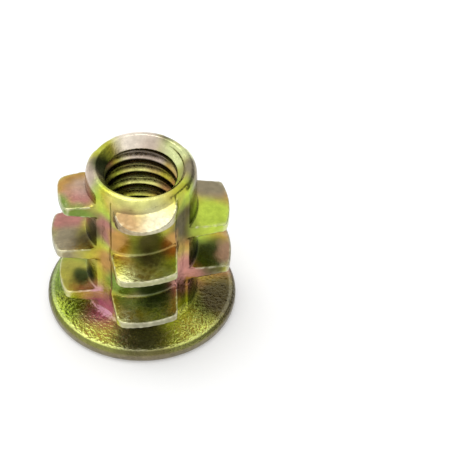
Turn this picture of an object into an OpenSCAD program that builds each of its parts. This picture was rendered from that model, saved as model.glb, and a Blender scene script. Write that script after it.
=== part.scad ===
// Flanged insert nut for timber, hexagon drive, die cast in one piece.
//
// A tapped tube stands on a round flange. A coarse right-hand thread wraps the tube and is
// interrupted by four flutes, so it stands out as four columns of thin blades. A hexagon socket
// opens in the flange and leads to the tapped bore. The origin is the centre of the flange's
// outer face, and +Z points to the mouth of the tube. The die opens along Y: the two columns on
// Y lie whole in one die half, and its parting plane splits the two columns on X.

/* [Tube] */
// Overall length, from the flange's outer face to the mouth
nut_h = 13.4; // [12.5:0.1:15]
// Outer diameter of the tube in the flutes and at the mouth
tube_d = 7.8; // [7.5:0.1:8.2]
// Height of the lands between the blades above the tube
land_step = 0.2; // [0.1:0.05:0.4]
// Radius of the lands' upper edge, which rolls over towards the mouth
land_round = 0.6; // [0.3:0.05:0.7]
// Depth of the lands' top below the mouth
land_low = 0.05; // [0.05:0.01:0.2]
// Radius of the rounding round the outside of the mouth
mouth_round = 0.45; // [0.2:0.05:0.5]
// Radius of the fillet between the tube and the flange
foot_fillet = 0.5; // [0.2:0.05:0.6]

/* [Flange] */
// Diameter of the flange
flange_d = 14.1; // [13.8:0.1:18]
// Thickness of the flange
flange_t = 1.1; // [0.9:0.1:1.8]
// Radius of the flange's edge on the tube side
flange_round_top = 0.5; // [0.2:0.05:0.5]
// Radius of the flange's edge on the outer face
flange_round_face = 0.4; // [0.1:0.05:0.4]

/* [Tapped bore] */
// Minor diameter of the inner thread, which is the wall of the bore
bore_d = 5.2; // [4.8:0.05:5.4]
// Diameter of the countersink at the mouth
sink_d = 6.7; // [5.7:0.05:6.8]
// Depth of the countersink
sink_h = 0.7; // [0.3:0.05:1]

/* [Hexagon socket] */
// Width across the flats of the socket
hex_af = 6.3; // [5.8:0.05:6.4]
// Depth of the socket from the flange's outer face
hex_h = 5; // [4:0.1:6]
// Diameter of the round that clips the socket's corners
hex_corner_d = 6.95; // [6.8:0.05:7.1]

/* [Outer thread] */
// Diameter over the crests of the full blades
crest_d = 13.3; // [11.5:0.1:13.8]
// Rise of the outer thread in one turn
thread_pitch = 4.25; // [3.8:0.05:4.4]
// Height of the crest of the first blade on the -Y side above the flange's outer face
thread_z = 3.6; // [3.3:0.05:4.1]
// Width of each column of blades
column_w = 4.9; // [4.6:0.1:5.2]
// Thickness of a blade where it leaves the land
blade_root_t = 1; // [0.8:0.05:1.2]
// Thickness of a blade at its crest
blade_crest_t = 0.5; // [0.3:0.05:0.6]
// Thickness of the last blade at its crest
last_crest_t = 0.3; // [0.2:0.05:0.6]

/* [Blade ends] */
// Share of the full blade height that the first blade by the flange reaches
first_reach = 0.8; // [0.5:0.05:1]
// Share of the full blade height that the last blade but one reaches
entry_reach = 0.8; // [0.65:0.05:1]
// Share of the full blade height that the last blade by the mouth reaches
last_reach = 0.67; // [0.4:0.01:0.8]
// Angle by which a blade's lower end closes in towards the crest, in plan
low_draft = 8; // [2:0.5:10]
// Angle by which a blade's higher end closes in towards the crest, in plan
high_draft = 2; // [0:0.5:6]
// Amount by which the lower end of the last blade but one falls short of the others
entry_short = 0.65; // [0:0.05:0.8]
// Amount by which the lower end of the last blade falls short of the others
last_short = 0.25; // [0:0.05:0.3]
// Radius of the crisp corners at the blade ends on the +X side
corner_crisp = 0.35; // [0.1:0.05:0.6]
// Radius of the corners of the blades on -X
corner_side = 0.5; // [0.2:0.05:0.8]
// Radius of the soft corners: the -X ends of the blades on Y, and the last blades' lower ends
corner_soft = 0.9; // [0.4:0.05:1.2]
// Radius of both corners of the last blade, which is nearly a half moon
corner_last = 2.15; // [1.2:0.05:2.2]

/* [Hidden] */
$fn = 96;
zinc_yellow = [0.72, 0.66, 0.24];
tube_r = tube_d / 2;
land_r = tube_r + land_step;
flange_r = flange_d / 2;
bore_r = bore_d / 2;
crest_r = crest_d / 2;
blade_h = crest_r - land_r;
// Clearance by which a cutting shape runs past the face that it cuts
past = 0.5;
// Mouth of the cone in the socket's floor, just inside the flats
hex_floor_d = hex_af - 0.2;
// Height at which the rounding of the lands' upper edge starts
land_top = nut_h - land_low - land_round;
// Distance from the axis at which the sides of a column leave its land
side_x = sqrt(land_r * land_r - column_w * column_w / 4);
// Circle steps of a corner and of a crest, in plan
corner_steps = 4;
crest_steps = 8;
// Blades follow each other every quarter turn, the first one on -X
blade_step = thread_pitch / 4;
first_z = thread_z - blade_step;
blades = 1 + floor((land_top - blade_root_t / 2 - first_z) / blade_step);
last = blades - 1;
// Blades over which the crest falls away before the mouth
entry_run = 3;
// Slope of a flank along the thread, taken at half the blade's height
flank_lead = atan(thread_pitch / (PI * (crest_r + land_r)));
// Thickening of a split blade at the parting plane, so that its ends keep the full thickness
split_gain = tan(flank_lead) * column_w / 2;

// Corner radii of the columns on -X, -Y, +X and +Y, at their lower and their higher end
low_corners = [corner_side, corner_soft, corner_crisp, corner_crisp];
high_corners = [corner_side, corner_crisp, corner_crisp, corner_soft];

// Points on an arc, for outlines
function arc(centre, r, from, to, steps) =
    [for (i = [0 : steps]) centre + r * [cos(from + (to - from) * i / steps),
                                         sin(from + (to - from) * i / steps)]];

// Share of the full height that blade n reaches: short at the start, falling away at the mouth
function reach(n) =
    n == 0 ? first_reach :
    n == last ? last_reach :
    1 - (1 - entry_reach) * max(0, n - (last - 1 - entry_run)) / entry_run;

// Half the thickness at distance x from the axis of a blade whose crest lies at r
function half_t(x, r, crest_t, gain) =
    (crest_t + (blade_root_t - crest_t) * (r - x) / (r - land_r) + gain) / 2;

// Centre of a blade's corner in plan, inside its crest circle and its drafted side
function corner_centre(r, corner, half_w, draft) =
    let (
        start = [side_x, half_w] - corner * [sin(draft), cos(draft)],
        way = [cos(draft), -sin(draft)],
        along = start * way
    )
    start + way * (sqrt(along * along - start * start + pow(r - corner, 2)) - along);

// Half outline of the flange and the tube, turned about the axis
module turned_body() {
    rotate_extrude()
        polygon(concat(
            [[0, 0]],
            arc([flange_r - flange_round_face, flange_round_face], flange_round_face, -90, 0, 4),
            arc([flange_r - flange_round_top, flange_t - flange_round_top],
                flange_round_top, 0, 90, 6),
            arc([tube_r + foot_fillet, flange_t + foot_fillet], foot_fillet, 270, 180, 5),
            arc([tube_r - mouth_round, nut_h - mouth_round], mouth_round, 0, 90, 6),
            [[0, nut_h]]
        ));
}

// Raised pads that carry the columns of blades
module lands() {
    intersection() {
        rotate_extrude()
            polygon(concat(
                [[0, flange_t / 2], [land_r, flange_t / 2]],
                arc([land_r - land_round, land_top], land_round, 0, 90, 6),
                [[0, land_top + land_round]]
            ));
        union() {
            for (turn = [0, 90])
                rotate(turn)
                    translate([-flange_r, -column_w / 2, 0])
                        cube([flange_d, column_w, nut_h]);
        }
    }
}

// Plan of a blade that points along +X: drafted sides, round crest, two rounded corners.
// The lower end lies on -Y and stops short of the column's side by the given amount.
module blade_plan(r, low_corner, high_corner, short) {
    low_w = column_w / 2 - short;
    high_w = column_w / 2;
    low = corner_centre(r, low_corner, low_w, low_draft);
    high = corner_centre(r, high_corner, high_w, high_draft);
    low_a = atan2(low[1], low[0]);
    high_a = atan2(high[1], high[0]);
    // The crest's first and last steps are left to the corners' arcs
    low_step = (low_a + high_a) / crest_steps;
    polygon(concat(
        [[bore_r, -low_w - (side_x - bore_r) * tan(low_draft)]],
        arc([low[0], -low[1]], low_corner, low_draft - 90, -low_a, corner_steps),
        arc([0, 0], r, low_step - low_a, high_a - low_step, crest_steps - 2),
        arc(high, high_corner, high_a, 90 - high_draft, corner_steps),
        [[bore_r, high_w + (side_x - bore_r) * tan(high_draft)]]
    ));
}

// Endless blade with plane flanks, thinner towards its crest at r
module flanks(r, crest_t, gain) {
    inner = half_t(bore_r, r, crest_t, gain);
    outer = half_t(r + past, r, crest_t, gain);
    rotate([90, 0, 0])
        linear_extrude(height = crest_d, center = true)
            polygon([[bore_r, -inner], [r + past, -outer], [r + past, outer], [bore_r, inner]]);
}

// One blade of the outer thread, pointing along +X, cut from its plan. A drawn blade lies
// whole in one die half. A split blade is divided by the parting plane, and each of its halves
// has one level flank, because a flank that followed the thread there would lock in the die.
module blade(r, crest_t, low_corner, high_corner, short, split) {
    intersection() {
        rotate([flank_lead, 0, 0])
            flanks(r, crest_t, split ? split_gain : 0);
        if (split)
            flanks(r, crest_t, split_gain);
        translate([0, 0, -crest_r])
            linear_extrude(height = crest_d)
                blade_plan(r, low_corner, high_corner, short);
    }
}

// The outer thread: one blade every quarter turn, rising as a right-hand thread
module outer_thread() {
    for (n = [0 : last])
        translate([0, 0, first_z + n * blade_step])
            rotate(180 + 90 * n)
                blade(
                    land_r + blade_h * reach(n),
                    n == last ? last_crest_t : blade_crest_t,
                    n == last ? corner_last : n == last - 1 ? corner_soft : low_corners[n % 4],
                    n == last ? corner_last : high_corners[n % 4],
                    n == last ? last_short : n == last - 1 ? entry_short : 0,
                    n % 2 == 0
                );
}

// Bore with its countersink, cut right through
module bore() {
    translate([0, 0, -past])
        cylinder(r = bore_r, h = nut_h + 2 * past);
    translate([0, 0, nut_h - sink_h])
        cylinder(r1 = bore_r, r2 = sink_d / 2, h = sink_h);
    translate([0, 0, nut_h])
        cylinder(d = sink_d, h = past);
}

// Hexagon socket with clipped corners, and the cone in its floor that leads to the bore
module hex_socket() {
    intersection() {
        translate([0, 0, -past])
            cylinder(d = hex_af / cos(30), h = hex_h + past, $fn = 6);
        translate([0, 0, -2 * past])
            cylinder(d = hex_corner_d, h = hex_h + 4 * past);
    }
    translate([0, 0, hex_h])
        cylinder(d1 = hex_floor_d, d2 = bore_d, h = (hex_floor_d - bore_d) / 2);
}

module insert_nut() {
    color(zinc_yellow)
        difference() {
            union() {
                turned_body();
                lands();
                outer_thread();
            }
            bore();
            hex_socket();
        }
}

insert_nut();
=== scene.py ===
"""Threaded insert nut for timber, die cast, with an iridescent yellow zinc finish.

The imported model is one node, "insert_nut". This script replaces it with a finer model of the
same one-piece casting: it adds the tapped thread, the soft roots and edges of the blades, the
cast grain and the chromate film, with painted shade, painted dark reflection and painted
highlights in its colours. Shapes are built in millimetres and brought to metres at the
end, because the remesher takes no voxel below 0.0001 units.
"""

import logging
import math
from dataclasses import dataclass, field
from enum import Enum

import bmesh
import bpy
import numpy as np
from mathutils import Matrix, Vector


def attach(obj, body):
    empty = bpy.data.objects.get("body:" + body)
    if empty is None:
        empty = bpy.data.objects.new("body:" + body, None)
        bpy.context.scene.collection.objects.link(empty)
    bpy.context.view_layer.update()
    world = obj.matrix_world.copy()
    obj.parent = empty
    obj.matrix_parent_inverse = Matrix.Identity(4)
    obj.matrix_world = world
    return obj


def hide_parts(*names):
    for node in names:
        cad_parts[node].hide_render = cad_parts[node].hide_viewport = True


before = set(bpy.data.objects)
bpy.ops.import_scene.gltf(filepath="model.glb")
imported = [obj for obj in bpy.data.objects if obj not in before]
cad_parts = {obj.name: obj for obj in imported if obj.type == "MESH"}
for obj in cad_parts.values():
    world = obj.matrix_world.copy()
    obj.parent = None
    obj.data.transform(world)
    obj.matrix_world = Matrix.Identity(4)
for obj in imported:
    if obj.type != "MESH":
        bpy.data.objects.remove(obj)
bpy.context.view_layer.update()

LOG = logging.getLogger("insert_nut")
MM = 0.001
MM_PER_M = 1000.0
# Millimetres within which points are welded, and within which they lie on a cutting plane.
WELD = 1e-5
ON_PLANE = 1e-6
# Square millimetres below which an edge of the skin counts as this long, so as not to divide by 0.
SHORTEST = 1e-9
# Mean of Blender's noise.
NOISE_MEAN = 0.5
# Attribute that holds how sharply the skin turns outwards.
EDGE = "edge"
# Colour of bare zinc, used for worn edges that are also painted highlights.
BARE_ZINC = (0.84, 0.80, 0.56, 1.0)
# Painted shade and painted dark reflection on the tapped thread's crests and roots, for the dark
# of the bore.
PAINTED_BORE_SHADE = (0.03, 0.025, 0.015, 1.0)


class Casting(Enum):
    """How the die forms a column of blades."""

    DRAWN = "whole in one die half"
    SPLIT = "divided by the parting plane"


# ---------------------------------------------------------------- mesh helpers


def shell_object(bm: bmesh.types.BMesh, name: str) -> bpy.types.Object:
    """Turn a bmesh into a linked object with outward normals.

    Args:
        bm: Closed shell, which is freed here.
        name: Name of the new object and its mesh.

    Returns:
        The new object.
    """
    bmesh.ops.remove_doubles(bm, verts=bm.verts, dist=WELD)
    bmesh.ops.recalc_face_normals(bm, faces=bm.faces)
    mesh = bpy.data.meshes.new(name)
    bm.to_mesh(mesh)
    bm.free()
    made = bpy.data.objects.new(name, mesh)
    bpy.context.scene.collection.objects.link(made)
    return made


def apply_modifiers(piece: bpy.types.Object) -> None:
    """Bake a piece's modifiers into its mesh.

    Args:
        piece: Object whose modifiers are applied and removed.
    """
    graph = bpy.context.evaluated_depsgraph_get()
    baked = bpy.data.meshes.new_from_object(piece.evaluated_get(graph))
    old = piece.data
    piece.modifiers.clear()
    piece.data = baked
    baked.name = piece.name
    bpy.data.meshes.remove(old)


def drop(piece: bpy.types.Object) -> None:
    """Remove a helper object together with its mesh.

    Args:
        piece: Object that is no longer needed.
    """
    mesh = piece.data
    bpy.data.objects.remove(piece)
    bpy.data.meshes.remove(mesh)


def cut_away(piece: bpy.types.Object, cutter: bpy.types.Object) -> None:
    """Subtract a closed cutter from a piece.

    Args:
        piece: Object that is cut.
        cutter: Closed shell, which is removed afterwards.
    """
    cut = piece.modifiers.new("cut", "BOOLEAN")
    cut.operation = "DIFFERENCE"
    cut.solver = "EXACT"
    cut.object = cutter
    apply_modifiers(piece)
    drop(cutter)


def spin_outline(bm: bmesh.types.BMesh, outline: list[tuple[float, float]], steps: int) -> None:
    """Turn an outline of radius and height once round the axis.

    Args:
        bm: Mesh that receives the turned shell.
        outline: Points as (radius, height), from the axis out and back to the axis, or round
            a ring's section and back to its first point.
        steps: Number of steps in the full turn.
    """
    points = [bm.verts.new((radius, 0.0, height)) for radius, height in outline]
    edges = [bm.edges.new(pair) for pair in zip(points, points[1:])]
    bmesh.ops.spin(bm, geom=points + edges, cent=(0, 0, 0), axis=(0, 0, 1), angle=math.tau,
                   steps=steps, use_merge=True)
    bmesh.ops.remove_doubles(bm, verts=bm.verts, dist=WELD)


def arc(centre: tuple[float, float], radius: float, start: float, end: float,
        steps: int) -> list[tuple[float, float]]:
    """Points on an arc of an outline.

    Args:
        centre: Centre as (radius, height).
        radius: Radius of the arc.
        start: First angle in degrees.
        end: Last angle in degrees.
        steps: Number of steps between them.

    Returns:
        The points from start to end.
    """
    angles = [math.radians(start + (end - start) * i / steps) for i in range(steps + 1)]
    return [(centre[0] + radius * math.cos(a), centre[1] + radius * math.sin(a)) for a in angles]


def trim(bm: bmesh.types.BMesh, point: Vector, normal: Vector) -> None:
    """Cut a convex shell with a plane, drop what lies outside and close the cut.

    Args:
        bm: Convex closed shell.
        point: Any point of the plane.
        normal: Direction of the side that goes.
    """
    geom = list(bm.verts) + list(bm.edges) + list(bm.faces)
    bmesh.ops.bisect_plane(bm, geom=geom, dist=ON_PLANE, plane_co=point, plane_no=normal,
                           clear_outer=True)
    rim = [edge for edge in bm.edges if edge.is_boundary]
    if rim:
        bmesh.ops.holes_fill(bm, edges=rim, sides=0)


def relax(bm: bmesh.types.BMesh, verts: list[bmesh.types.BMVert] | bmesh.types.BMVertSeq,
          passes: int) -> None:
    """Smooth a part of a skin.

    Args:
        bm: The skin.
        verts: Points that move.
        passes: Number of passes, each half of the way to the neighbours' mean.
    """
    for _ in range(passes):
        bmesh.ops.smooth_vert(bm, verts=verts, factor=0.5, use_axis_x=True, use_axis_y=True,
                              use_axis_z=True)


def read_vectors(items: bpy.types.bpy_prop_collection, label: str) -> np.ndarray:
    """Read one vector of each item.

    Args:
        items: Vertices or normals of a mesh.
        label: Name of the vector.

    Returns:
        One row for each item.
    """
    values = np.empty(len(items) * 3)
    items.foreach_get(label, values)
    return values.reshape(-1, 3)


# ---------------------------------------------------------------- parts of the casting


@dataclass
class TurnedBody:
    """The flange, the tube and its bore, turned in one outline. Sizes in millimetres."""

    height: float = 13.4
    tube_r: float = 3.9
    mouth_round: float = 0.45
    foot_fillet: float = 0.5
    flange_r: float = 7.05
    flange_t: float = 1.1
    round_top: float = 0.5
    round_face: float = 0.4
    bore_r: float = 2.6
    sink_r: float = 3.35
    sink_h: float = 0.7
    socket_r: float = 3.05
    socket_h: float = 5.0
    steps: int = 192
    face_steps: int = 8
    arc_steps: int = 10

    def outline(self) -> list[tuple[float, float]]:
        """Draw the section of the ring.

        Returns:
            Points as (radius, height), round from the bore's foot and back to it.
        """
        return [
            (self.socket_r, 0.0),
            *arc((self.flange_r - self.round_face, self.round_face), self.round_face, -90, 0,
                 self.face_steps),
            *arc((self.flange_r - self.round_top, self.flange_t - self.round_top),
                 self.round_top, 0, 90, self.arc_steps),
            *arc((self.tube_r + self.foot_fillet, self.flange_t + self.foot_fillet),
                 self.foot_fillet, 270, 180, self.arc_steps),
            *arc((self.tube_r - self.mouth_round, self.height - self.mouth_round),
                 self.mouth_round, 0, 90, self.arc_steps),
            (self.sink_r, self.height),
            (self.bore_r, self.height - self.sink_h),
            (self.bore_r, self.socket_h + self.socket_r - self.bore_r),
            (self.socket_r, self.socket_h),
            (self.socket_r, 0.0),
        ]

    def build(self) -> bpy.types.Object:
        """Turn the section.

        Returns:
            The flange and the bored tube.
        """
        bm = bmesh.new()
        spin_outline(bm, self.outline(), self.steps)
        return shell_object(bm, "turned_body")


@dataclass
class TappedBore:
    """The inner thread, cut into the wall of the bore. Sizes in millimetres."""

    body: TurnedBody
    major_r: float = 3.15
    pitch: float = 1.27
    crest_z: float = 11.68
    floor_z: float = 5.6
    root_flat: float = 0.16
    flank_angle: float = 30.0
    overlap: float = 0.3
    past_mouth: float = 1.0
    turns_above: int = 2
    steps_per_turn: int = 70

    def cut(self, piece: bpy.types.Object) -> None:
        """Cut the thread's groove into the turned body."""
        cut_away(piece, self.groove())

    def groove(self) -> bpy.types.Object:
        """Build the helical ridge that cuts the thread's groove.

        Returns:
            The cutter, which starts below the tapped part and ends past the mouth.
        """
        inner_r = self.body.bore_r - self.overlap
        slope = math.tan(math.radians(self.flank_angle))
        half_root = self.root_flat / 2
        half_inner = half_root + (self.major_r - inner_r) * slope
        # On +Y the upper edge of a crest lies at crest_z, so a groove's centre lies half a crest
        # and half a pitch below it, and whole turns further up and down.
        crest_flat = self.pitch - 2 * (half_root + (self.major_r - self.body.bore_r) * slope)
        start_z = self.crest_z - crest_flat / 2 - self.pitch / 2
        turns = math.ceil((self.body.height + self.past_mouth - self.floor_z) / self.pitch)
        start_z += (self.turns_above - turns) * self.pitch
        bm = bmesh.new()
        corners = [(inner_r, -half_inner), (self.major_r, -half_root),
                   (self.major_r, half_root), (inner_r, half_inner)]
        loop = [bm.verts.new((0.0, radius, start_z + z)) for radius, z in corners]
        edges = [bm.edges.new(pair) for pair in zip(loop, loop[1:] + loop[:1])]
        bmesh.ops.spin(bm, geom=loop + edges, cent=(0, 0, 0), axis=(0, 0, 1),
                       dvec=(0, 0, self.pitch / self.steps_per_turn), angle=math.tau * turns,
                       steps=turns * self.steps_per_turn, use_merge=False)
        bmesh.ops.holes_fill(bm, edges=[e for e in bm.edges if e.is_boundary], sides=0)
        return shell_object(bm, "groove_cutter")


@dataclass
class HexSocket:
    """The hexagon socket in the flange, with clipped corners. Sizes in millimetres."""

    across_flats: float = 6.3
    depth: float = 4.995
    corner_d: float = 6.95
    past: float = 0.5
    sides: int = 6
    steps: int = 90

    def cut(self, piece: bpy.types.Object) -> None:
        """Cut the hexagon round the bore's turned foot.

        Args:
            piece: The turned body.
        """
        bm = bmesh.new()
        bmesh.ops.create_cone(bm, cap_ends=True, segments=self.steps, radius1=self.corner_d / 2,
                              radius2=self.corner_d / 2, depth=self.depth + self.past)
        bmesh.ops.translate(bm, verts=bm.verts, vec=(0, 0, (self.depth - self.past) / 2))
        for side in range(self.sides):
            angle = math.radians(360 / self.sides * (side + 0.5))
            out = Matrix.Rotation(angle, 3, "Z") @ Vector((1, 0, 0))
            trim(bm, out * (self.across_flats / 2), out)
        cut_away(piece, shell_object(bm, "socket_cutter"))


@dataclass
class Blade:
    """One blade of the outer thread, pointing along +X. Sizes in millimetres."""

    reach_r: float
    casting: Casting
    low_corner: float
    high_corner: float
    short: float = 0.0
    width: float = 4.9
    side_x: float = 3.29
    root_r: float = 4.1
    root_t: float = 1.0
    crest_t: float = 0.5
    inner_r: float = 3.1
    lead: float = 7.1
    low_draft: float = 8.0
    high_draft: float = 2.0
    blank_t: float = 4.0
    corner_steps: int = 7
    crest_steps: int = 320

    def flank(self, bm: bmesh.types.BMesh, side: int, tilt: float, gain: float) -> None:
        """Trim one flank.

        Args:
            bm: The blade's shell.
            side: 1 for the flank towards the mouth, -1 for the one towards the flange.
            tilt: Lead angle that the flank follows, in degrees.
            gain: Thickening of the blade in millimetres.
        """
        taper = math.atan((self.root_t - self.crest_t) / 2 / (self.reach_r - self.root_r))
        turn = Matrix.Rotation(math.radians(tilt), 3, "X")
        normal = turn @ Vector((math.sin(taper), 0, side * math.cos(taper)))
        point = turn @ Vector((self.reach_r, 0, side * (self.crest_t + gain) / 2))
        trim(bm, point, normal)

    def corner(self, bm: bmesh.types.BMesh, side: int) -> None:
        """Round one corner of the plan, and draft the side that leads to it.

        Args:
            bm: The blade's shell.
            side: 1 for the higher end on +Y, -1 for the lower end on -Y.
        """
        radius = self.high_corner if side > 0 else self.low_corner
        half = self.width / 2 - (0.0 if side > 0 else self.short)
        draft = math.radians(self.high_draft if side > 0 else self.low_draft)
        start = Vector((self.side_x, half)) - radius * Vector((math.sin(draft), math.cos(draft)))
        way = Vector((math.cos(draft), -math.sin(draft)))
        along = start.dot(way)
        inner = self.reach_r - radius
        centre = start + way * (math.sqrt(along ** 2 - start.length_squared + inner ** 2) - along)
        meet = math.atan2(centre.y, centre.x)
        for step in range(self.corner_steps + 1):
            angle = meet + (math.pi / 2 - draft - meet) * step / self.corner_steps
            out = Vector((math.cos(angle), side * math.sin(angle), 0))
            trim(bm, Vector((centre.x, side * centre.y, 0)) + radius * out, out)

    def build(self) -> bmesh.types.BMesh:
        """Trim the blade from a round blank.

        Returns:
            Its closed shell, centred on its own height.
        """
        bm = bmesh.new()
        bmesh.ops.create_cone(bm, cap_ends=True, segments=self.crest_steps,
                              radius1=self.reach_r, radius2=self.reach_r, depth=self.blank_t)
        trim(bm, Vector((self.inner_r, 0, 0)), Vector((-1, 0, 0)))
        for side in (-1, 1):
            self.corner(bm, side)
        gain = math.tan(math.radians(self.lead)) * self.width / 2
        for side in (-1, 1):
            if self.casting is Casting.DRAWN:
                self.flank(bm, side, self.lead, 0.0)
            else:
                self.flank(bm, side, self.lead, gain)
                self.flank(bm, side, 0.0, gain)
        return bm


@dataclass
class OuterThread:
    """Four columns of blades on raised lands. Sizes in millimetres."""

    body: TurnedBody
    land_r: float = 4.1
    land_round: float = 0.6
    land_low: float = 0.05
    crest_r: float = 6.65
    pitch: float = 4.25
    first_z: float = 2.5375
    width: float = 4.9
    reaches: tuple[float, ...] = (0.8, 1.0, 1.0, 1.0, 1.0, 1.0, 0.9333, 0.8667, 0.8, 0.67)
    side_corner: float = 0.5
    soft_corner: float = 0.9
    crisp_corner: float = 0.35
    last_corner: float = 2.15
    entry_short: float = 0.65
    last_short: float = 0.25
    last_crest_t: float = 0.3
    columns: int = 4
    land_inner_r: float = 3.3
    land_steps: int = 160
    arc_steps: int = 10

    def corners(self, index: int) -> tuple[float, float]:
        """Choose the corner radii of a blade.

        Args:
            index: Its number, counted from the flange.

        Returns:
            The radii at its lower and at its higher end.
        """
        last = len(self.reaches) - 1
        if index == last:
            return self.last_corner, self.last_corner
        if index == last - 1:
            return self.soft_corner, self.side_corner
        # The columns on -X, -Y, +X and +Y.
        return (
            (self.side_corner, self.side_corner),
            (self.soft_corner, self.crisp_corner),
            (self.crisp_corner, self.crisp_corner),
            (self.crisp_corner, self.soft_corner),
        )[index % self.columns]

    def lead(self) -> float:
        """Return the lead angle at half the blades' height, in degrees."""
        return math.degrees(math.atan(self.pitch / (math.pi * (self.crest_r + self.land_r))))

    def place(self, bm: bmesh.types.BMesh, index: int) -> None:
        """Turn and lift a blade to its place in the thread.

        Args:
            bm: The blade's shell.
            index: Its number, counted from the flange.
        """
        angle = math.radians(180 + 360 / self.columns * index)
        bmesh.ops.rotate(bm, verts=bm.verts, cent=(0, 0, 0),
                         matrix=Matrix.Rotation(angle, 3, "Z"))
        bmesh.ops.translate(bm, verts=bm.verts,
                            vec=(0, 0, self.first_z + index * self.pitch / self.columns))

    def land(self, turn: float) -> bmesh.types.BMesh:
        """Return one land, the pad under a column.

        Args:
            turn: Direction of the column in degrees.

        Returns:
            Its closed shell.
        """
        bm = bmesh.new()
        bottom = self.body.flange_t / 2
        top = self.body.height - self.land_low
        outline = [
            (0.0, bottom),
            (self.land_r, bottom),
            *arc((self.land_r - self.land_round, top - self.land_round), self.land_round, 0, 90,
                 self.arc_steps),
            (0.0, top),
        ]
        spin_outline(bm, outline, self.land_steps)
        bmesh.ops.recalc_face_normals(bm, faces=bm.faces)
        trim(bm, Vector((self.land_inner_r, 0, 0)), Vector((-1, 0, 0)))
        for side in (-1, 1):
            trim(bm, Vector((0, side * self.width / 2, 0)), Vector((0, side, 0)))
        bmesh.ops.rotate(bm, verts=bm.verts, cent=(0, 0, 0),
                         matrix=Matrix.Rotation(math.radians(turn), 3, "Z"))
        return bm

    def build(self) -> list[bpy.types.Object]:
        """Build the lands and the blades.

        Returns:
            Their loose shells, in place.
        """
        shells = [shell_object(self.land(360 / self.columns * i), f"land_{i}")
                  for i in range(self.columns)]
        side_x = math.sqrt(self.land_r ** 2 - self.width ** 2 / 4)
        last = len(self.reaches) - 1
        for index, reach in enumerate(self.reaches):
            low, high = self.corners(index)
            blade = Blade(
                reach_r=self.land_r + (self.crest_r - self.land_r) * reach,
                casting=Casting.SPLIT if index % 2 == 0 else Casting.DRAWN,
                low_corner=low,
                high_corner=high,
                width=self.width,
                lead=self.lead(),
                side_x=side_x,
            )
            if index == last:
                blade.short = self.last_short
                blade.crest_t = self.last_crest_t
            elif index == last - 1:
                blade.short = self.entry_short
            bm = blade.build()
            self.place(bm, index)
            shells.append(shell_object(bm, f"blade_{index}"))
        return shells


# ---------------------------------------------------------------- finishes


class Nodes:
    """A short hand for wiring a node tree."""

    def __init__(self, tree: bpy.types.NodeTree) -> None:
        """Start with an empty tree."""
        self.tree = tree
        tree.nodes.clear()

    def add(self, kind: str, settings: dict | None = None, **values: object) -> bpy.types.Node:
        """Add a node, set its properties and feed its inputs.

        Args:
            kind: Type name of the node.
            settings: Properties of the node itself.
            **values: Inputs by name, with _ for a space, or i0, i1 by number. A socket is
                linked and anything else becomes the input's value.

        Returns:
            The new node.
        """
        node = self.tree.nodes.new(kind)
        for name, value in (settings or {}).items():
            setattr(node, name, value)
        for name, value in values.items():
            numbered = name[0] == "i" and name[1:].isdigit()
            key = int(name[1:]) if numbered else name.replace("_", " ")
            if isinstance(value, bpy.types.NodeSocket):
                self.tree.links.new(value, node.inputs[key])
            else:
                node.inputs[key].default_value = value
        return node

    def math(self, operation: str, *terms: object) -> bpy.types.NodeSocket:
        """Return the result of a Math node."""
        values = {f"i{i}": term for i, term in enumerate(terms)}
        return self.add("ShaderNodeMath", {"operation": operation}, **values).outputs[0]

    def ramp(self, factor: bpy.types.NodeSocket,
             stops: list[tuple[float, tuple[float, float, float]]]) -> bpy.types.NodeSocket:
        """Return the colour of a ramp.

        Args:
            factor: Value that runs along the ramp.
            stops: Positions with their colours.

        Returns:
            The colour socket.
        """
        node = self.add("ShaderNodeValToRGB", None, Fac=factor)
        elements = node.color_ramp.elements
        while len(elements) < len(stops):
            elements.new(0.5)
        for element, (position, _) in zip(elements, stops):
            element.position = position
        for element, (_, colour) in zip(elements, stops):
            element.color = (*colour, 1.0)
        return node.outputs["Color"]

    def smooth_mask(self, value: bpy.types.NodeSocket, low: float,
                    high: float) -> bpy.types.NodeSocket:
        """Return 0 below low and 1 above high, with a smooth step between."""
        return self.add("ShaderNodeMapRange", {"interpolation_type": "SMOOTHSTEP"}, Value=value,
                        From_Min=low, From_Max=high, To_Min=0.0, To_Max=1.0).outputs[0]

    def mask_mm(self, value: bpy.types.NodeSocket,
                band: tuple[float, float]) -> bpy.types.NodeSocket:
        """Return the smooth mask of a length in metres, over a band in millimetres."""
        return self.smooth_mask(value, *(edge * MM for edge in band))

    def distance(self, axes: bpy.types.Node) -> bpy.types.NodeSocket:
        """Return the distance from the Z axis of a point split into its coordinates."""
        squares = [self.math("POWER", axes.outputs[axis], 2.0) for axis in "XY"]
        return self.math("SQRT", self.math("ADD", *squares))

    def mix(self, factor: object, first: object, second: object,
            blend: str = "MIX") -> bpy.types.NodeSocket:
        """Mix two colours.

        Args:
            factor: Share of the second colour.
            first: Colour or socket.
            second: Colour or socket.
            blend: How the second colour acts on the first.

        Returns:
            The mixed colour's socket.
        """
        node = self.add("ShaderNodeMix", {"data_type": "RGBA", "blend_type": blend})
        for key, value in (("Factor_Float", factor), ("A_Color", first), ("B_Color", second)):
            socket = next(s for s in node.inputs if s.identifier == key)
            if isinstance(value, bpy.types.NodeSocket):
                self.tree.links.new(value, socket)
            else:
                socket.default_value = value
        return next(s for s in node.outputs if s.identifier == "Result_Color")


def new_group(name: str, inputs: dict[str, float],
              outputs: dict[str, str]) -> tuple[bpy.types.NodeTree, Nodes]:
    """Start a shader node group with named sockets.

    Args:
        name: Name of the group.
        inputs: Value inputs with their defaults.
        outputs: Outputs with their socket types.

    Returns:
        The group and its wiring helper.
    """
    group = bpy.data.node_groups.new(name, "ShaderNodeTree")
    nodes = Nodes(group)
    for label, default in inputs.items():
        socket = group.interface.new_socket(label, in_out="INPUT", socket_type="NodeSocketFloat")
        socket.default_value = default
    for label, kind in outputs.items():
        group.interface.new_socket(label, in_out="OUTPUT", socket_type=kind)
    return group, nodes


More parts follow.
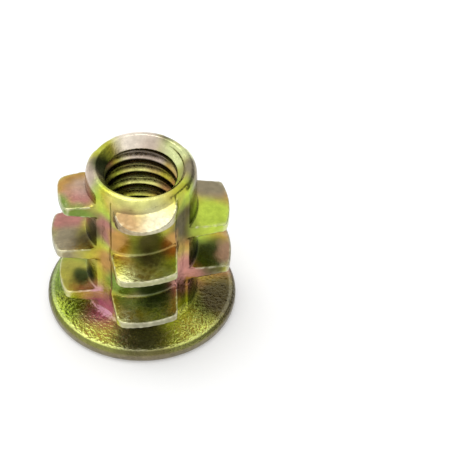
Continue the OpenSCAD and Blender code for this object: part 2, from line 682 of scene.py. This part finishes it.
class Tint(Enum):
    """Colours of the finish. The last group is for dull and dark places: UMBER, PINE and ASH are
    painted shade and painted dark reflection wherever they are used, and GREY is a film tint that
    also paints shade on the flange's side.
    """

    PEARL = (0.98, 0.87, 0.72)
    CREAM = (0.54, 0.50, 0.33)
    SHELL = (0.62, 0.50, 0.40)
    LEMON = (0.88, 0.97, 0.22)
    PALE_LIME = (0.94, 0.93, 0.30)
    LIME = (0.52, 0.66, 0.08)
    STRAW = (0.60, 0.55, 0.06)
    ORANGE = (0.54, 0.30, 0.08)
    TAN = (0.34, 0.22, 0.10)
    PINK = (0.50, 0.22, 0.18)
    BLUSH = (0.62, 0.28, 0.23)
    LILAC = (0.70, 0.34, 0.42)
    ROSE = (0.38, 0.23, 0.14)
    MOSS = (0.44, 0.41, 0.07)
    GREEN = (0.22, 0.32, 0.06)
    OLIVE = (0.78, 0.84, 0.40)
    DRAB = (0.54, 0.56, 0.42)

    GREY = (0.32, 0.27, 0.17)
    ASH = (0.24, 0.22, 0.13)
    UMBER = (0.12, 0.10, 0.04)
    PINE = (0.06, 0.08, 0.02)


@dataclass(frozen=True)
class Pool:
    """A soft round patch with a tint of its own. Millimetres."""

    place: tuple[float, float, float]
    radius: float
    tint: Tint


# A later pool covers an earlier one. The PINE and UMBER pools, and the ASH pool on the flange, are
# painted shade and painted dark reflection. The other tints are the film's own.
POOLS = (
    # the flange
    Pool((-6.4, 1.0, 1.0), 3.2, Tint.GREEN), Pool((-5.9, -2.6, 1.0), 2.2, Tint.LIME),
    Pool((-3.6, -5.3, 1.0), 3.2, Tint.LEMON), Pool((3.4, -5.2, 1.0), 3.4, Tint.LEMON),
    Pool((-0.1, -5.4, 1.0), 3.1, Tint.ASH), Pool((6.0, -1.6, 1.0), 3.6, Tint.UMBER),
    # the flutes
    Pool((-3.3, -2.1, 4.6), 2.0, Tint.STRAW), Pool((-2.6, -2.9, 6.4), 1.7, Tint.ORANGE),
    Pool((-3.0, -2.5, 2.0), 2.5, Tint.LILAC), Pool((-2.9, -2.7, 9.6), 1.9, Tint.PINK),
    Pool((3.1, -2.5, 4.4), 3.4, Tint.BLUSH), Pool((3.1, -2.4, 10.0), 2.7, Tint.UMBER),
    # the blades on -X
    Pool((-5.7, 1.9, 11.4), 2.0, Tint.STRAW), Pool((-5.0, 0.3, 11.4), 1.9, Tint.ORANGE),
    Pool((-4.4, -1.3, 11.4), 2.0, Tint.PINK), Pool((-6.2, -1.9, 11.3), 1.5, Tint.GREEN),
    Pool((-4.7, -2.7, 10.8), 1.8, Tint.GREEN), Pool((-5.6, 1.1, 7.2), 2.1, Tint.PINK),
    Pool((-5.6, -1.3, 7.1), 2.1, Tint.GREY), Pool((-5.4, -0.4, 2.9), 2.6, Tint.MOSS),
    Pool((-3.8, -2.0, 8.8), 1.7, Tint.UMBER), Pool((-4.2, -1.2, 7.7), 1.4, Tint.UMBER),
    Pool((-4.2, -1.2, 4.2), 1.4, Tint.UMBER), Pool((-4.5, -0.9, 2.9), 1.2, Tint.PINE),
    # the blades on -Y and the land between them
    Pool((-0.4, -4.7, 14.0), 3.6, Tint.PALE_LIME), Pool((1.0, -5.8, 12.2), 3.0, Tint.CREAM),
    Pool((-1.3, -4.6, 12.0), 2.1, Tint.TAN),
    Pool((-1.8, -3.8, 9.2), 1.5, Tint.ORANGE), Pool((1.9, -3.7, 9.1), 1.3, Tint.ORANGE),
    Pool((0.0, -6.1, 8.3), 2.8, Tint.OLIVE), Pool((0.3, -4.0, 9.5), 1.9, Tint.UMBER),
    Pool((0.3, -5.8, 4.0), 3.0, Tint.DRAB), Pool((0.5, -4.0, 5.3), 2.2, Tint.PINE),
    Pool((-1.9, -3.8, 5.0), 1.7, Tint.GREEN),
    # the blades on +X
    Pool((5.3, -1.3, 9.3), 2.6, Tint.LIME), Pool((5.2, 1.9, 9.4), 2.0, Tint.GREY),
    Pool((4.9, -0.9, 5.0), 2.3, Tint.PINE), Pool((6.6, -0.6, 4.8), 1.5, Tint.ROSE),
    # the mouth
    Pool((-4.3, -0.4, 13.2), 2.4, Tint.SHELL), Pool((4.2, -0.3, 13.2), 2.4, Tint.GREY),
    Pool((0.0, 4.4, 13.3), 2.1, Tint.GREY),
    Pool((0.9, 3.6, 13.7), 1.0, Tint.UMBER), Pool((2.2, 2.9, 13.7), 1.0, Tint.UMBER),
    Pool((2.5, 1.5, 12.9), 1.8, Tint.OLIVE), Pool((-0.2, 2.8, 12.8), 2.2, Tint.PEARL),
    Pool((-2.6, 0.3, 13.1), 1.7, Tint.PINE), Pool((0.9, 2.8, 11.9), 1.9, Tint.SHELL),
    Pool((0.0, 2.8, 9.6), 2.2, Tint.PALE_LIME), Pool((-1.7, 0.8, 11.4), 1.8, Tint.PINE),
    Pool((-1.7, 0.8, 9.0), 1.8, Tint.PINE),
)


# Order of the tints as the film between the pools grows, over one turn of the colours.
FILM_ORDER = (
    (0.00, Tint.STRAW), (0.16, Tint.LIME), (0.30, Tint.GREEN), (0.44, Tint.OLIVE),
    (0.58, Tint.GREY), (0.70, Tint.PINK), (0.84, Tint.ORANGE), (1.00, Tint.STRAW),
)


@dataclass(frozen=True)
class ChromateFilmAndPaintedShade:
    """The thin film with its pools, and the bands round the flange's edge. Some pools and both
    bands are painted shade and painted dark reflection.

    Each field that ends in _mm and holds two lengths is a band over which a mask rises.
    """

    name: str = "chromate_film_and_painted_shade"
    pools: tuple[Pool, ...] = POOLS
    swing: float = 2.4
    stray_scale: float = 450.0
    wander_mm: float = 1.6
    core: float = 0.35
    edge_mm: tuple[float, float] = (6.45, 6.75)
    rim_mm: tuple[float, float] = (1.06, 0.98)
    side_mm: tuple[float, float] = (0.85, 0.60)
    band_share: float = 0.8
    speckle_scale: float = 1500.0
    speckle_shade: float = 0.72
    speckle_band: tuple[float, float] = (0.3, 0.7)

    def group(self) -> bpy.types.NodeTree:
        """Build the group.

        Returns:
            The node group, built once.
        """
        ready = bpy.data.node_groups.get(self.name)
        if ready:
            return ready
        group, nodes = new_group(
            self.name, {"Patch Size": 3.0, "Thickness": 0.5, "Spread": 0.5, "Seed": 0.0},
            {"Color": "NodeSocketColor"})
        put = nodes.add("NodeGroupInput")
        place = nodes.add("ShaderNodeTexCoord").outputs["Object"]
        drift = nodes.add("ShaderNodeTexNoise", {"noise_dimensions": "4D"}, Vector=place,
                          W=put.outputs["Seed"],
                          Scale=nodes.math("DIVIDE", MM_PER_M, put.outputs["Patch Size"]),
                          Detail=2.0, Roughness=0.45, Distortion=0.6)
        film = nodes.math("MULTIPLY_ADD", nodes.math("SUBTRACT", drift.outputs[0], NOISE_MEAN),
                          nodes.math("MULTIPLY", put.outputs["Spread"], self.swing),
                          put.outputs["Thickness"])
        colour = nodes.ramp(nodes.math("FRACT", film),
                            [(position, tint.value) for position, tint in FILM_ORDER])
        stray = nodes.add("ShaderNodeTexNoise", None, Vector=place, Scale=self.stray_scale,
                          Detail=2.0)
        away = nodes.math("MULTIPLY", nodes.math("SUBTRACT", stray.outputs[0], NOISE_MEAN),
                          self.wander_mm * MM)
        for pool in self.pools:
            mask = self.mask(nodes, place, away, pool)
            colour = nodes.mix(mask, colour, (*pool.tint.value, 1.0))
        axes = nodes.add("ShaderNodeSeparateXYZ", None, Vector=place)
        outer = nodes.mask_mm(nodes.distance(axes), self.edge_mm)
        # Both bands are painted shade and painted dark reflection: UMBER is a dark line under the
        # flange's upper edge and GREY darkens its side.
        for levels, tint in ((self.rim_mm, Tint.UMBER), (self.side_mm, Tint.GREY)):
            band = nodes.math("MULTIPLY", nodes.mask_mm(axes.outputs["Z"], levels), outer)
            colour = nodes.mix(nodes.math("MULTIPLY", band, self.band_share), colour,
                               (*tint.value, 1.0))
        fine = nodes.add("ShaderNodeTexNoise", None, Vector=place, Scale=self.speckle_scale,
                         Detail=3.0, Roughness=0.6).outputs[0]
        low, high = self.speckle_band
        shade = nodes.ramp(fine, [(low, (self.speckle_shade,) * 3), (high, (1.0, 1.0, 1.0))])
        nodes.add("NodeGroupOutput", None, Color=nodes.mix(1.0, colour, shade, "MULTIPLY"))
        return group

    def mask(self, nodes: Nodes, place: bpy.types.NodeSocket, stray: bpy.types.NodeSocket,
             pool: Pool) -> bpy.types.NodeSocket:
        """Draw a pool's soft, straying outline.

        Args:
            nodes: The group's wiring helper.
            place: Object coordinates in metres.
            stray: Length by which the outlines wander, in metres.
            pool: The pool.

        Returns:
            1 in the middle of the pool and 0 outside it.
        """
        away = nodes.add("ShaderNodeVectorMath", {"operation": "DISTANCE"}, i0=place,
                         i1=tuple(v * MM for v in pool.place)).outputs["Value"]
        return nodes.mask_mm(nodes.math("ADD", away, stray),
                             (pool.radius, self.core * pool.radius))


@dataclass(frozen=True)
class CastGrain:
    """The fine grain of the die-cast skin."""

    name: str = "cast_grain"
    cell_scale: float = 0.45
    cell_depth: float = 0.45
    pit_band: tuple[float, float] = (0.3, 0.6)
    peel_scale: float = 0.65

    def group(self) -> bpy.types.NodeTree:
        """Build the group.

        Returns:
            The node group, built once. Height is the grain, Pits its hollows and Peel a
            coarser unevenness.
        """
        ready = bpy.data.node_groups.get(self.name)
        if ready:
            return ready
        group, nodes = new_group(self.name, {"Grain Size": 0.12},
                                 {"Height": "NodeSocketFloat", "Pits": "NodeSocketFloat",
                                  "Peel": "NodeSocketFloat"})
        put = nodes.add("NodeGroupInput")
        place = nodes.add("ShaderNodeTexCoord").outputs["Object"]
        scale = nodes.math("DIVIDE", MM_PER_M, put.outputs["Grain Size"])
        grain = nodes.add("ShaderNodeTexNoise", None, Vector=place, Scale=scale, Detail=4.0,
                          Roughness=0.62).outputs[0]
        cells = nodes.add("ShaderNodeTexVoronoi", {"feature": "SMOOTH_F1"}, Vector=place,
                          Scale=nodes.math("MULTIPLY", scale, self.cell_scale),
                          Smoothness=0.6).outputs["Distance"]
        height = nodes.math("MULTIPLY_ADD", cells, self.cell_depth, grain)
        peel = nodes.add("ShaderNodeTexNoise", None, Vector=place,
                         Scale=nodes.math("MULTIPLY", scale, self.peel_scale),
                         Detail=1.5).outputs[0]
        nodes.add("NodeGroupOutput", None, Height=height, Peel=peel,
                  Pits=nodes.smooth_mask(cells, *self.pit_band))
        return group


@dataclass(frozen=True)
class ZincFinish:
    """Yellow chromate over zinc, on the cast skin or on the tapped thread.

    Each band is where a mask rises from 0 to 1: over a distance from the axis for _r, over a
    height for _z, both in millimetres, and over the sharpness of the edge for wear_and_highlight_band.
    """

    name: str
    patch_mm: float
    thickness: float
    spread: float
    seed: float
    grain_mm: float
    grain_depth: float
    roughness: float
    wear_and_highlight_share: float
    # Share of the painted shade and dark reflection on the tapped thread's crests and roots.
    bore_shade: float = 0.0
    flange_top_z: tuple[float, float] = (1.6, 1.15)
    flange_face_z: tuple[float, float] = (0.2, 0.7)
    crest_r: tuple[float, float] = (6.45, 6.6)
    crest_z: tuple[float, float] = (1.5, 2.0)
    crest_share: float = 0.7
    rim_r: tuple[float, float] = (6.48, 6.64)
    rim_z: tuple[float, float] = (1.00, 1.06)
    rim_share: float = 0.35
    pit_keep: float = -0.4
    wear_and_highlight_band: tuple[float, float] = (1.2, 3.6)
    thread_crest_r: tuple[float, float] = (2.70, 2.62)
    thread_root_r: tuple[float, float] = (2.74, 3.20)
    flange_grain: float = 2.0
    flange_peel: float = 6.5
    bump: float = 0.6
    pit_rough: float = 0.12

    def material(self) -> bpy.types.Material:
        """Build the finish.

        Returns:
            The material, built once.
        """
        ready = bpy.data.materials.get(self.name)
        if ready:
            return ready
        made = bpy.data.materials.new(self.name)
        made.use_nodes = True
        nodes = Nodes(made.node_tree)
        film = nodes.add("ShaderNodeGroup", {"node_tree": ChromateFilmAndPaintedShade().group()},
                         Patch_Size=self.patch_mm, Thickness=self.thickness,
                         Spread=self.spread, Seed=self.seed)
        grain = nodes.add("ShaderNodeGroup", {"node_tree": CastGrain().group()},
                          Grain_Size=self.grain_mm)
        place = nodes.add("ShaderNodeTexCoord").outputs["Object"]
        axes = nodes.add("ShaderNodeSeparateXYZ", None, Vector=place)
        level = axes.outputs["Z"]
        radius = nodes.distance(axes)
        flange = nodes.math("MULTIPLY", nodes.mask_mm(level, self.flange_top_z),
                            nodes.mask_mm(level, self.flange_face_z))
        # ASH on the blades' crests is painted shade and painted dark reflection.
        crest = nodes.math("MULTIPLY", nodes.mask_mm(radius, self.crest_r),
                           nodes.mask_mm(level, self.crest_z))
        colour = nodes.mix(nodes.math("MULTIPLY", crest, self.crest_share),
                           film.outputs["Color"], (*Tint.ASH.value, 1.0))
        # Mask of the flange's upper edge, where bare zinc paints a highlight.
        rim = nodes.math("MULTIPLY", nodes.mask_mm(radius, self.rim_r),
                         nodes.math("MULTIPLY", flange, nodes.mask_mm(level, self.rim_z)))
        # Bare zinc on sharp edges is wear and also a painted highlight.
        wear_and_highlight = self.wear_and_highlight(nodes, grain.outputs["Pits"], rim)
        colour = nodes.mix(wear_and_highlight, colour, BARE_ZINC)
        # Paint shade and dark reflection on the tapped thread's crests and roots.
        if self.bore_shade:
            deep = nodes.math("MAXIMUM", nodes.mask_mm(radius, self.thread_crest_r),
                              nodes.mask_mm(radius, self.thread_root_r))
            colour = nodes.mix(nodes.math("MULTIPLY", deep, self.bore_shade), colour, PAINTED_BORE_SHADE)
        bump = nodes.add("ShaderNodeBump", None, Strength=self.bump,
                         Distance=self.grain_depth * MM,
                         Height=self.relief(nodes, grain, flange))
        rough = nodes.math("MULTIPLY_ADD", grain.outputs["Pits"], self.pit_rough,
                           self.roughness)
        shader = nodes.add("ShaderNodeBsdfPrincipled", None, Base_Color=colour,
                           Metallic=1.0, Roughness=rough, Normal=bump.outputs["Normal"])
        nodes.add("ShaderNodeOutputMaterial", None, Surface=shader.outputs["BSDF"])
        return made

    def wear_and_highlight(self, nodes: Nodes, pits: bpy.types.NodeSocket,
             rim: bpy.types.NodeSocket) -> bpy.types.NodeSocket:
        """Show where the film is rubbed off on sharp edges, which also paints their highlights,
        and paint a highlight on the flange's upper edge.

        Args:
            nodes: The material's wiring helper.
            pits: Mask of the hollows, in which the film stays.
            rim: Mask of the flange's upper edge, where a highlight is painted.

        Returns:
            Share of bare zinc.
        """
        edge = nodes.add("ShaderNodeAttribute", {"attribute_name": EDGE}).outputs["Fac"]
        rub = nodes.math("MULTIPLY_ADD", pits, self.pit_keep, edge)
        wear_and_highlight = nodes.math("MAXIMUM", nodes.smooth_mask(rub, *self.wear_and_highlight_band),
                          nodes.math("MULTIPLY", rim, self.rim_share))
        return nodes.math("MULTIPLY", wear_and_highlight, self.wear_and_highlight_share)

    def relief(self, nodes: Nodes, grain: bpy.types.Node,
               flange: bpy.types.NodeSocket) -> bpy.types.NodeSocket:
        """Draw the relief of the skin, which is coarser on the flange.

        Args:
            nodes: The material's wiring helper.
            grain: The grain's group node.
            flange: Mask of the flange.

        Returns:
            The height of the relief.
        """
        peel = nodes.math("MULTIPLY", grain.outputs["Peel"],
                          nodes.math("MULTIPLY", flange, self.flange_peel))
        gain = nodes.math("MULTIPLY_ADD", flange, self.flange_grain, 1.0)
        return nodes.math("MULTIPLY_ADD", grain.outputs["Height"], gain, peel)


CAST_SKIN = ZincFinish("zinc_cast_skin", patch_mm=4.0, thickness=0.05, spread=0.55, seed=0.0,
                       grain_mm=0.16, grain_depth=0.03, roughness=0.15, wear_and_highlight_share=0.5)
TAPPED_WALL = ZincFinish("zinc_tapped_wall", patch_mm=3.0, thickness=0.9, spread=0.5, seed=4.0,
                         grain_mm=0.1, grain_depth=0.002, roughness=0.2, wear_and_highlight_share=0.3,
                         bore_shade=0.85)


# ---------------------------------------------------------------- the whole nut


@dataclass
class InsertNut:
    """The one-piece casting. Sizes in millimetres."""

    body: TurnedBody = field(default_factory=TurnedBody)
    socket: HexSocket = field(default_factory=HexSocket)
    voxel: float = 0.065
    root_reach: float = 0.4
    root_margin: float = 0.1
    foot_clear: float = 0.3
    side_margin: float = 0.02
    bore_margin: float = 0.05
    wall_margin: float = 0.1
    root_passes: int = 14
    side_passes: int = 40
    tapped_passes: int = 9
    skin_passes: int = 2
    triangles: int = 190000
    edge_passes: int = 4

    def parts(self) -> tuple[TappedBore, OuterThread]:
        """Return the bore and the outer thread that belong to the body."""
        return TappedBore(self.body), OuterThread(self.body)

    def join(self, piece: bpy.types.Object, others: list[bpy.types.Object]) -> None:
        """Add loose shells to a piece's mesh.

        Args:
            piece: Object that receives the shells.
            others: Objects that are taken up and removed.
        """
        bm = bmesh.new()
        bm.from_mesh(piece.data)
        for other in others:
            bm.from_mesh(other.data)
            drop(other)
        bm.to_mesh(piece.data)
        bm.free()

    def fuse(self, piece: bpy.types.Object) -> None:
        """Fuse the overlapping shells into one closed skin.

        Args:
            piece: The loose shells in one mesh.
        """
        remesh = piece.modifiers.new("fuse", "REMESH")
        remesh.mode = "VOXEL"
        remesh.voxel_size = self.voxel
        remesh.adaptivity = 0.0
        apply_modifiers(piece)

    def soften(self, piece: bpy.types.Object, thread: OuterThread) -> None:
        """Round the roots of the blades, the lands' sides and the inner thread.

        Args:
            piece: The fused casting.
            thread: The outer thread, whose lands carry the roots.
        """
        bm = bmesh.new()
        bm.from_mesh(piece.data)
        low = self.body.tube_r - self.root_margin
        high = thread.land_r + self.root_reach
        foot = self.body.flange_t + self.foot_clear
        roots = [v for v in bm.verts
                 if low < math.hypot(v.co.x, v.co.y) < high and v.co.z > foot]
        relax(bm, roots, self.root_passes)
        side_r = thread.land_r + self.side_margin
        sides = [v for v in roots if math.hypot(v.co.x, v.co.y) < side_r]
        relax(bm, sides, self.side_passes)
        bore_r = self.body.sink_r + self.bore_margin
        top = self.body.height - self.body.sink_h
        tapped = [v for v in bm.verts
                  if math.hypot(v.co.x, v.co.y) < bore_r and self.socket.depth < v.co.z < top]
        relax(bm, tapped, self.tapped_passes)
        relax(bm, bm.verts, self.skin_passes)
        bm.to_mesh(piece.data)
        bm.free()

    def thin(self, piece: bpy.types.Object) -> None:
        """Bring the skin down to its number of triangles.

        Args:
            piece: The softened casting.
        """
        count = sum(len(p.vertices) - 2 for p in piece.data.polygons)
        if count > self.triangles:
            collapse = piece.modifiers.new("thin", "DECIMATE")
            collapse.decimate_type = "COLLAPSE"
            collapse.ratio = self.triangles / count
            apply_modifiers(piece)

    def mark_edges(self, piece: bpy.types.Object) -> None:
        """Store how sharply the skin turns outwards, in radians per millimetre.

        Args:
            piece: The casting, still in millimetres.
        """
        mesh = piece.data
        count = len(mesh.vertices)
        places = read_vectors(mesh.vertices, "co")
        normals = read_vectors(mesh.vertex_normals, "vector")
        pairs = np.empty(len(mesh.edges) * 2, dtype=np.int64)
        mesh.edges.foreach_get("vertices", pairs)
        first, second = pairs.reshape(-1, 2).T
        step = places[second] - places[first]
        bend = np.einsum("ij,ij->i", normals[second] - normals[first], step)
        bend /= np.maximum(np.einsum("ij,ij->i", step, step), SHORTEST)
        share = np.bincount(pairs, minlength=count)
        turn = (np.bincount(first, bend, count) + np.bincount(second, bend, count)) / share
        for _ in range(self.edge_passes):
            near = np.bincount(first, turn[second], count)
            near += np.bincount(second, turn[first], count)
            turn = (turn + near) / (share + 1)
        # Only the blades and the mouth get worn edges and painted edge highlights, not the roots
        # between them.
        proud = np.hypot(places[:, 0], places[:, 1]) > OuterThread.land_r + self.root_reach
        turn *= proud | (places[:, 2] > self.body.height - self.body.mouth_round)
        layer = mesh.attributes.new(EDGE, "FLOAT", "POINT")
        layer.data.foreach_set("value", turn)

    def dress(self, piece: bpy.types.Object, bore: TappedBore) -> None:
        """Give the cast skin and the tapped wall their finishes.

        Args:
            piece: The casting, still in millimetres.
            bore: The bore, which says where the wall is tapped.
        """
        piece.data.materials.clear()
        piece.data.materials.append(CAST_SKIN.material())
        piece.data.materials.append(TAPPED_WALL.material())
        wall_r = bore.major_r + self.wall_margin
        top = self.body.height - self.body.sink_h
        for face in piece.data.polygons:
            centre = face.center
            tapped = math.hypot(centre.x, centre.y) < wall_r and bore.floor_z < centre.z < top
            face.material_index = 1 if tapped else 0

    def build(self) -> bpy.types.Object:
        """Build the nut.

        Returns:
            The finished casting, in metres.
        """
        bore, thread = self.parts()
        piece = self.body.build()
        bore.cut(piece)
        self.socket.cut(piece)
        self.join(piece, thread.build())
        self.fuse(piece)
        self.soften(piece, thread)
        self.thin(piece)
        piece.name = piece.data.name = "insert_nut_casting"
        self.mark_edges(piece)
        self.dress(piece, bore)
        piece.data.transform(Matrix.Scale(MM, 4))
        piece.data.shade_smooth()
        return piece


# ---------------------------------------------------------------- floor, light and camera


@dataclass
class Studio:
    """A pale floor, a soft lamp and the camera. Angles in degrees, lengths in metres.

    The foot is where the nut stands, measured from the point that the camera aims at. The
    paper's glow is seen by the camera and in reflections only.
    """

    focal_px: float = 3375.0
    frame_px: float = 470.0
    distance: float = 0.2596
    elevation: float = 44.39
    roll: float = 1.17
    turn: float = 4.5
    foot: tuple[float, float, float] = (-0.00692, -0.00681, 0.0001)
    sensor_mm: float = 36.0
    clip: tuple[float, float] = (0.01, 10.0)
    floor_half: float = 1.5
    floor_z: float = -0.00001
    paper: tuple[float, float, float, float] = (0.86, 0.86, 0.86, 1.0)
    paper_glow: float = 0.22
    shade_tilt: float = -0.8
    shade_band: tuple[float, float] = (0.0, 0.6)
    shade: tuple[float, float, float] = (0.16, 0.16, 0.17)
    lamp_place: tuple[float, float, float] = (-0.12, 0.14, 0.5)
    lamp_size: float = 0.3
    lamp_watts: float = 0.5

    def camera(self) -> None:
        """Set up the camera."""
        data = bpy.data.cameras.new("camera")
        data.sensor_width = self.sensor_mm
        data.lens = self.focal_px / self.frame_px * self.sensor_mm
        data.clip_start, data.clip_end = self.clip
        lift = math.radians(self.elevation)
        right = Vector((1, 0, 0))
        up = Vector((0, math.sin(lift), math.cos(lift)))
        back = Vector((0, -math.cos(lift), math.sin(lift)))
        roll = math.radians(self.roll)
        turned_right = math.cos(roll) * right + math.sin(roll) * up
        turned_up = -math.sin(roll) * right + math.cos(roll) * up
        pose = Matrix((turned_right, turned_up, back)).transposed().to_4x4()
        pose.translation = back * self.distance - Vector(self.foot)
        camera = bpy.data.objects.new("camera", data)
        bpy.context.scene.collection.objects.link(camera)
        camera.matrix_world = Matrix.Rotation(math.radians(-self.turn), 4, "Z") @ pose
        bpy.context.scene.camera = camera

    def floor(self) -> None:
        """Lay the white floor, which keeps the nut's shadow."""
        bm = bmesh.new()
        bmesh.ops.create_grid(bm, x_segments=1, y_segments=1, size=self.floor_half)
        mesh = bpy.data.meshes.new("floor")
        bm.to_mesh(mesh)
        bm.free()
        floor = bpy.data.objects.new("floor", mesh)
        floor.location = (0, 0, self.floor_z)
        bpy.context.scene.collection.objects.link(floor)
        made = bpy.data.materials.new("white_paper")
        made.use_nodes = True
        nodes = Nodes(made.node_tree)
        rays = nodes.add("ShaderNodeLightPath")
        seen = nodes.math("MAXIMUM", rays.outputs["Is Camera Ray"],
                          nodes.math("MAXIMUM", rays.outputs["Is Glossy Ray"],
                                     rays.outputs["Is Transmission Ray"]))
        paper = nodes.add("ShaderNodeBsdfPrincipled", None, Base_Color=self.paper,
                          Roughness=0.9, Emission_Color=(1.0, 1.0, 1.0, 1.0),
                          Emission_Strength=nodes.math("MULTIPLY", seen, self.paper_glow))
        nodes.add("ShaderNodeOutputMaterial", None, Surface=paper.outputs["BSDF"])
        mesh.materials.append(made)

    def lamp(self) -> None:
        """Hang the square soft lamp, pointed at the nut."""
        data = bpy.data.lights.new("overhead", "AREA")
        data.shape = "SQUARE"
        data.size = self.lamp_size
        data.energy = self.lamp_watts
        lamp = bpy.data.objects.new("overhead", data)
        lamp.location = self.lamp_place
        lamp.rotation_euler = (-Vector(self.lamp_place)).to_track_quat("-Z", "Y").to_euler()
        bpy.context.scene.collection.objects.link(lamp)

    def world(self) -> None:
        """Set a white surrounding that falls off to one side."""
        world = bpy.data.worlds.new("surrounding")
        world.use_nodes = True
        nodes = Nodes(world.node_tree)
        ray = nodes.add("ShaderNodeTexCoord").outputs["Generated"]
        way = nodes.add("ShaderNodeSeparateXYZ", None, Vector=ray)
        side = nodes.math("MULTIPLY_ADD", way.outputs["Z"], self.shade_tilt, way.outputs["X"])
        colour = nodes.ramp(nodes.smooth_mask(side, *self.shade_band),
                            [(0.0, (1.0, 1.0, 1.0)), (1.0, self.shade)])
        sky = nodes.add("ShaderNodeBackground", None, Color=colour, Strength=1.0)
        nodes.add("ShaderNodeOutputWorld", None, Surface=sky.outputs["Background"])
        bpy.context.scene.world = world

    def build(self) -> None:
        """Set up the camera, the floor and the light."""
        self.camera()
        self.floor()
        self.world()
        self.lamp()
        bpy.context.scene.view_settings.view_transform = "Standard"


def main() -> None:
    """Build the nut and the studio, and report each piece."""
    logging.basicConfig(level=logging.INFO, format="%(name)s: %(message)s")
    Studio().build()
    nut = InsertNut().build()
    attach(nut, "root")
    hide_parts("insert_nut")
    triangles = sum(len(p.vertices) - 2 for p in nut.data.polygons)
    LOG.info("%s: %d triangles, size %s mm", nut.name, triangles,
             [round(v / MM, 3) for v in nut.dimensions])


if __name__ == "__main__":
    main()
